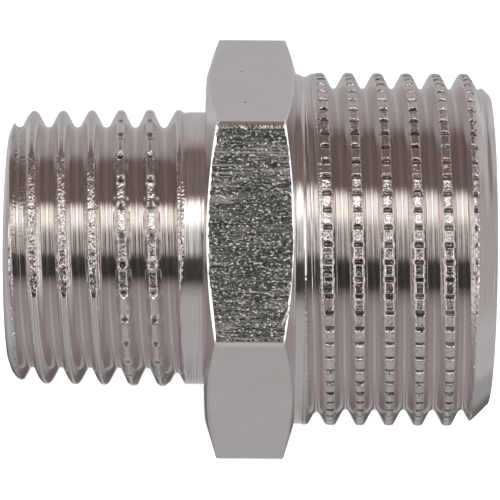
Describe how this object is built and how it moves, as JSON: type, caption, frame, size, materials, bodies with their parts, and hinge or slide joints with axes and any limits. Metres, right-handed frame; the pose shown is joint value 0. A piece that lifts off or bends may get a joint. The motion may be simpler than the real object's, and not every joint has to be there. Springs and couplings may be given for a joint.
{
  "type": "reducing hex nipple",
  "caption": "Nickel-plated brass reducing hex nipple: notched male pipe threads at both ends, a spanner hexagon between them, and a stepped bore.",
  "frame": {"origin": "on the bore's axis, half way along the hexagon", "axes": "+X along the bore towards the 3/8 end, +Z out of one hexagon flat, +Y towards a hexagon corner"},
  "size_m": [0.0221, 0.0194, 0.017],
  "materials": {
    "nickel_plated_brass": "nickel plated over machined brass"
  },
  "bodies": {
    "root": {"quarter_inch_male_end": "nickel_plated_brass", "hex_collar": "nickel_plated_brass", "three_eighths_male_end": "nickel_plated_brass"}
  },
  "joints": []
}
